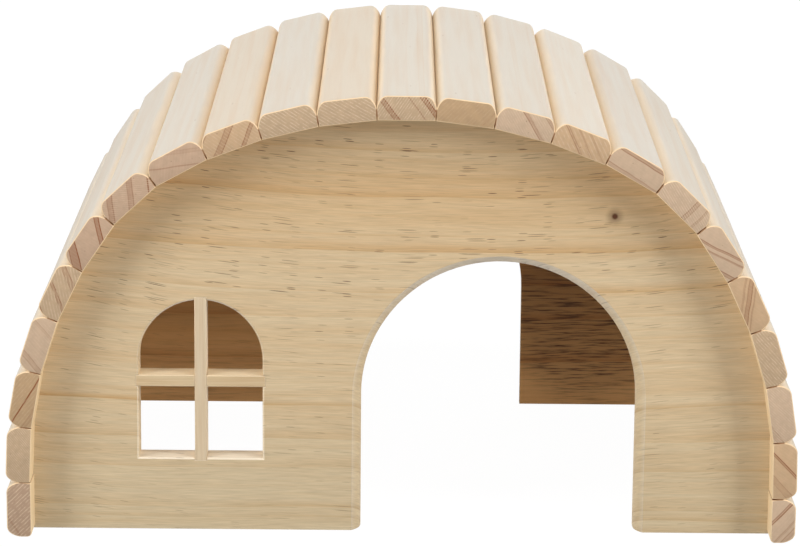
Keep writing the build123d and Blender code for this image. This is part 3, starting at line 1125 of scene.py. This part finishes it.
    def build(self, finish: bpy.types.Material) -> None:
        """Builds every slat as a piece of its own.

        Args:
            finish: The slats' material.
        """
        tree = self.tree()
        lies = self.lies()
        last = len(lies) - 1
        for i, timber in enumerate(self.timbers):
            (x, z, heading), width = lies[i]
            left_flare, right_flare = (
                self.flare(self.open_gap(k - 1), lies[k - 1][0][2] - lies[k][0][2])
                if 0 < k <= last else 0.0 for k in (i, i + 1))
            millimetres = {
                "Width": width,
                "Thickness": self.thickness,
                "Edge Width": self.edge_width,
                "Edge Drop": self.edge_drop,
                "Round Top": self.round_top,
                "Round Side": self.round_side,
                "Left Foot Round": self.foot_round if i == 0 else 0.0,
                "Right Foot Round": self.foot_round if i == last else 0.0,
                "Left Flare": left_flare,
                "Right Flare": right_flare,
                "Length": self.length,
                "Ripple": self.ripple,
            }
            sizes = {name: size * MM for name, size in millimetres.items()} | {
                "Stations": self.stations,
                "Heading": radians(heading),
                "Place": (x * MM, 0.0, z * MM),
                "Seed": self.shape_seed * (i + 1),
                "Finish": finish,
            }
            slat = self.lay(f"slat_{i + 1:02d}", tree, sizes)
            self.mark(slat, timber, lies[i], seed=self.grain_seed * (i + 1))
            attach(slat, ROOT)
            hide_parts(f"roof_slat_{i + 1:02d}")
            log.info("%s: %d faces", slat.name, len(slat.data.polygons))

    def open_gap(self, number: int) -> float:
        """Works out what is left open of a gap between two feet.

        Args:
            number: Number of the gap, from 0 at the left foot.

        Returns:
            Width in millimetres.
        """
        gap = self.gap(number)
        slack = max(0.0, gap - self.crack)
        at_foot = number == len(self.timbers) - 2  # the last slat isn't broadened
        return gap - (slack / 2 if at_foot else slack)

    def flare(self, gap: float, turn: float) -> float:
        """Works out how far a side leans out, so that it meets its neighbour's.

        Args:
            gap: The gap between the two feet in millimetres.
            turn: Degrees that the neighbours turn from one another.

        Returns:
            Millimetres that the shoulder stands out from the foot.
        """
        meeting = gap + radians(turn) * self.meeting_height + self.press * self.ripple
        return meeting / 2 * (self.thickness - self.edge_drop) / self.meeting_height

    def lay(self, name: str, tree: Tree, sizes: dict[str, Any]) -> bpy.types.Object:
        """Runs the tree once and eases the sharp edges round the ends.

        Args:
            name: Name of the new piece.
            tree: The Geometry Nodes tree.
            sizes: Values of the tree's inputs by name.

        Returns:
            The slat as a plain mesh in place.
        """
        carrier = put(name + "_carrier", bpy.data.meshes.new(name + "_carrier"))
        modifier = carrier.modifiers.new("slat", "NODES")
        modifier.node_group = tree
        for item in tree.interface.items_tree:
            if item.in_out == "INPUT":
                modifier[item.identifier] = sizes[item.name]
        mesh = bpy.data.meshes.new_from_object(
            carrier.evaluated_get(bpy.context.evaluated_depsgraph_get()))
        bpy.data.objects.remove(carrier)
        mesh.name = name
        shape = merged(mesh)
        bmesh.ops.recalc_face_normals(shape, faces=shape.faces)
        end = max(abs(v.co.y) for v in shape.verts) - MERGE_REACH * MM / 2
        rim = [e for e in shape.edges if all(abs(v.co.y) > end for v in e.verts)
               and len(e.link_faces) == 2 and e.calc_face_angle() > radians(self.rim_angle)]
        bmesh.ops.bevel(shape, geom=rim, offset=self.end_ease * MM,
                        segments=self.end_ease_steps, profile=0.5, affect="EDGES",
                        clamp_overlap=True)
        shape.to_mesh(mesh)
        shape.free()
        mesh.shade_smooth()
        mesh.set_sharp_from_angle(angle=radians(self.smooth_angle))
        return put(name, mesh)

    def mark(self, slat: bpy.types.Object, timber: SlatTimber, lie: tuple[Triple, float],
             seed: float) -> None:
        """Stores what the slat's material reads: where each point lies in its own wood.

        Args:
            slat: The slat in place.
            timber: What its ends show.
            lie: Its place on the arch, and its width in millimetres.
            seed: Moves the fine patterns.
        """
        mesh = slat.data
        (x, z, heading), width = lie
        along = Vector((cos(radians(heading)), 0, sin(radians(heading))))
        out = Vector((-along.z, 0, along.x))
        foot = Vector((x, 0, z))
        line, cut = radians(timber.lean), radians(timber.saw_lean)
        flat = width / 2 - self.edge_width - self.shoulder_reach
        wood, saw, spot = [], [], []
        for vertex in mesh.vertices:
            up = vertex.co / MM - foot
            off = up - out * self.thickness / 2
            beside = off.x * cos(line) + off.z * sin(line)
            across = -off.x * sin(line) + off.z * cos(line) + timber.curve * beside**2
            wood += [across, beside, off.y]
            over_marks = -off.x * sin(cut) + off.z * cos(cut)
            saw += [over_marks / timber.saw_pitch * self.saw_period, timber.saw, seed]
            rounded = max(0.0, (abs(up.dot(along)) - flat) / (width / 2 - flat))
            spot += [rounded, up.dot(out), 0.0]
        count = len(mesh.vertices)
        rings = [*timber.rings, *[NO_RING] * (SLAT_RINGS - len(timber.rings))]
        stored = {
            "wood": wood,
            "saw": saw,
            "spot": spot,
            "ring_places": [r.at for r in rings] * count,
            "ring_broads": [r.broad for r in rings] * count,
            "ring_tones": [r.tone for r in rings] * count,
        }
        for name, values in stored.items():
            mesh.attributes.new(name, "FLOAT_VECTOR", "POINT").data.foreach_set("vector", values)
        for name, tint in (("end_tint", timber.tint), ("face_tint", timber.face)):
            colours = mesh.attributes.new(name, "FLOAT_COLOR", "POINT")
            colours.data.foreach_set("color", list(linear(tint.value)) * count)


# ------------------------------------------------------------------ walls and window


@dataclass
class EasedBoard:
    """A piece cut from board, with every open sharp edge broken by sandpaper."""

    name: str
    node: str
    slot: str
    arch: Arch | None = None  # the edge that is glued to the slats, if it has one
    ease: float = 0.25
    ease_steps: int = 2
    ease_angle: float = 45.0  # degrees, sharper edges are eased
    smooth_angle: float = 50.0  # degrees, sharper edges stay sharp
    level_angle: float = 0.5  # degrees, faces that differ less are one
    flat_share: float = 0.9999  # of a normal along one axis: a big flat face
    bedding: float = 0.4  # how far the arched edge is pressed into glue and slats
    bedding_reach: float = 0.8  # corners this near to the arch are on that edge

    def build(self, finish: bpy.types.Material) -> None:
        """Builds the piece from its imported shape.

        Args:
            finish: Its material.
        """
        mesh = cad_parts[self.node].data.copy()
        mesh.name = self.name
        shape = merged(mesh)
        bmesh.ops.dissolve_limit(shape, angle_limit=radians(self.level_angle),
                                 verts=shape.verts, edges=shape.edges)
        bmesh.ops.recalc_face_normals(shape, faces=shape.faces)
        glued = self.bed_in(shape) if self.arch else set()
        sharp = [e for e in shape.edges
                 if len(e.link_faces) == 2 and e.calc_face_angle() > radians(self.ease_angle)
                 and not all(v in glued for v in e.verts)]
        bmesh.ops.bevel(shape, geom=sharp, offset=self.ease * MM, segments=self.ease_steps,
                        profile=0.5, affect="EDGES", clamp_overlap=True)
        shape.to_mesh(mesh)
        shape.free()
        mesh.materials.clear()
        mesh.materials.append(finish)
        board = put(self.name, mesh)
        mesh.shade_smooth()
        mesh.set_sharp_from_angle(angle=radians(self.smooth_angle))
        for face in mesh.polygons:
            if max(abs(value) for value in face.normal) > self.flat_share:
                face.use_smooth = False  # keeps the big flat faces clear of their rims' shading
        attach(board, ROOT)
        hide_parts(self.node)
        log.info("%s: %d faces", self.name, len(mesh.polygons))

    def bed_in(self, shape: bmesh.types.BMesh) -> set[bmesh.types.BMVert]:
        """Moves the arched edge outwards, so that no crack shows under the flat slats.

        Args:
            shape: The board.

        Returns:
            The corners on the arched edge.
        """
        length = self.arch.length()
        count = round(length)
        stations = [self.arch.station(length * i / count) for i in range(count + 1)]
        glued = set()
        for vertex in shape.verts:
            x, z = vertex.co.x / MM, vertex.co.z / MM
            near = min(stations, key=lambda s: (s[0] - x) ** 2 + (s[1] - z) ** 2)
            if (near[0] - x) ** 2 + (near[1] - z) ** 2 < self.bedding_reach**2:
                turn = radians(near[2])
                vertex.co.x -= sin(turn) * self.bedding * MM
                vertex.co.z += cos(turn) * self.bedding * MM
                glued.add(vertex)
        return glued


# ------------------------------------------------------------------ stage


@dataclass
class ViewCamera:
    """The camera in front of the house, a little above it."""

    place: Triple = (-0.0020, -1.2596, 0.3759)  # metres
    down: float = 13.504  # degrees below level
    right: float = 0.04  # degrees turned to the right
    roll: float = 0.4985  # degrees turned about its own axis
    lens: float = 153.9
    sensor: float = 36.0

    def build(self) -> None:
        """Builds the camera and makes it the scene's."""
        data = bpy.data.cameras.new("view_camera")
        data.lens = self.lens
        data.sensor_width = self.sensor
        data.sensor_fit = "HORIZONTAL"
        camera = put("view_camera", data)
        turn = (Euler((0, 0, -radians(self.right))).to_matrix()
                @ Euler((pi / 2 - radians(self.down), 0, 0)).to_matrix()
                @ Euler((0, 0, radians(self.roll))).to_matrix())
        camera.matrix_world = turn.to_4x4()
        camera.location = self.place
        bpy.context.scene.camera = camera


@dataclass(frozen=True)
class SoftBox:
    """One soft box, turned to the house. All in metres and watts."""

    name: str
    place: Triple
    width: float
    height: float
    power: float
    aim: Triple = (0.0, 0.0, 0.08)

    def build(self) -> None:
        """Hangs the box."""
        data = bpy.data.lights.new(self.name, "AREA")
        data.shape = "RECTANGLE"
        data.size, data.size_y = self.width, self.height
        data.energy = self.power
        lamp = put(self.name, data)
        lamp.location = self.place
        away = Vector(self.aim) - Vector(self.place)
        lamp.rotation_euler = away.to_track_quat("-Z", "Y").to_euler()


@dataclass
class Studio:
    """White sweep under a high key box, with boxes at both sides and behind."""

    floor_reach: float = 6.0  # metres
    floor_drop: float = 0.0004  # metres, keeps the floor clear of the house's own underside
    surround: float = 0.05
    paper: str = "#909090"  # what the house's light finds on the floor
    paper_seen: str = "#404040"  # what the camera finds there, over the glow
    paper_glow: float = 0.978  # what the camera sees of the paper before any lamp
    table_light: float = 0.24  # what the lit table under the paper gives the house from below
    boxes: tuple[SoftBox, ...] = (
        SoftBox("key_box", (0.0, -0.63, 1.30), 2.2, 0.4, 11.0),
        SoftBox("left_box", (-1.3, -0.9, 0.7), 0.6, 0.8, 13.4),
        SoftBox("right_box", (1.3, -0.9, 0.7), 0.6, 0.8, 13.4),
        SoftBox("rear_box", (0.0, 1.6, 0.7), 2.4, 0.9, 14.3),
    )

    def build(self) -> None:
        """Builds the floor, the surround and the lamps."""
        self.build_floor()
        self.build_surround()
        for box in self.boxes:
            box.build()

    def seen(self, tree: Tree) -> Node:
        """Tells rays that end in the eye from those that only carry light.

        Args:
            tree: The node tree of the floor or the surround.

        Returns:
            1 for what is seen directly, in a reflection or through glass.
        """
        ray = add(tree, "ShaderNodeLightPath").outputs
        seen = add(tree, "ShaderNodeMath", [ray["Is Camera Ray"], ray["Is Glossy Ray"]],
                   operation="MAXIMUM")
        return add(tree, "ShaderNodeMath", [seen, ray["Is Transmission Ray"]],
                   operation="MAXIMUM")

    def build_floor(self) -> None:
        """Builds a matt white floor that shows white and still takes a shadow."""
        mesh = bpy.data.meshes.new("floor")
        r, z = self.floor_reach, -self.floor_drop
        mesh.from_pydata([(-r, -r, z), (r, -r, z), (r, r, z), (-r, r, z)], [], [(0, 1, 2, 3)])
        floor = put("floor", mesh)
        material = bpy.data.materials.new("white_paper_sweep")
        material.use_nodes = True
        tree = material.node_tree
        tree.nodes.clear()
        # translucent paper over a lit table, which lights the room from below
        paper = add(tree, "ShaderNodeAddShader",
                    [add(tree, "ShaderNodeBsdfDiffuse", {"Color": linear(self.paper)}),
                     add(tree, "ShaderNodeEmission", {"Strength": self.table_light})])
        shaded = add(tree, "ShaderNodeBsdfDiffuse", {"Color": linear(self.paper_seen)})
        lit = add(tree, "ShaderNodeEmission", {"Color": WHITE, "Strength": self.paper_glow})
        bright = add(tree, "ShaderNodeAddShader", [shaded, lit])
        both = add(tree, "ShaderNodeMixShader", [self.seen(tree), paper, bright])
        add(tree, "ShaderNodeOutputMaterial", {"Surface": both})
        mesh.materials.append(material)

    def build_surround(self) -> None:
        """Lights the scene from all round, and shows white to the camera."""
        world = bpy.data.worlds.new("surround")
        bpy.context.scene.world = world
        world.use_nodes = True
        tree = world.node_tree
        tree.nodes.clear()
        level = add(tree, "ShaderNodeMapRange",
                    {"Value": self.seen(tree), "To Min": self.surround, "To Max": 1.0})
        glow = add(tree, "ShaderNodeBackground", {"Color": WHITE, "Strength": level})
        add(tree, "ShaderNodeOutputWorld", {"Surface": glow})


def main() -> None:
    """Builds the scene piece by piece."""
    logging.basicConfig(level=logging.INFO, format="%(message)s")
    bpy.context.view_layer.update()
    bpy.context.scene.view_settings.view_transform = "Standard"
    ViewCamera().build()
    Studio().build()
    SlatRoof().build(SlatPine().build())

    front_pine = BoardPine(
        name="sanded_pine_board_front", late="#C69C66", face_y=-89.0, knot=(74.0, 116.0),
        fleck="#573018", fleck_share=0.32, fleck_depth=0.95, fibre_depth=0.13,
        bands=((4.6, 1.5, 0.2), (8.3, 3, 0.25), (23.2, 2.5, 0.25), (33.6, 4, 0.3),
               (45.5, 2.2, 0.5), (61, 2.5, 0.15), (78.8, 3, 0.18), (88, 3.5, 0.35),
               (102.3, 4.5, 0.43), (108, 1, 0.2), (122.5, 4, 0.43), (129.5, 2, 0.15),
               (139, 3, 0.2)))
    EasedBoard("wall_front", "front_wall", "wall_pine", Arch()).build(front_pine.build())
    rear_pine = BoardPine(
        name="sanded_pine_board_rear", late="#C99A61", face_y=90.5, room_side=-1.0,
        bow_centre=20.0,
        bands=((14, 4, 0.6), (31, 3, 0.6), (45, 4, 0.8), (58, 3, 0.6), (72, 4, 0.8),
               (93, 5, 0.9), (112, 4, 0.7), (130, 5, 0.8)))
    EasedBoard("wall_rear", "rear_wall", "wall_pine", Arch()).build(rear_pine.build())

    upright_pine = BarPine(name="sanded_pine_stick_upright", pale="#E0CCAE", late="#D2B894")
    EasedBoard("window_upright", "window_upright_bar", "bar_pine").build(upright_pine.build())
    cross_pine = BarPine(name="sanded_pine_stick_cross", pale="#DBC49E", late="#C9A97F",
                         axis=GrainAxis.ACROSS)
    EasedBoard("window_cross", "window_cross_bar", "bar_pine").build(cross_pine.build())


if __name__ == "__main__":
    main()
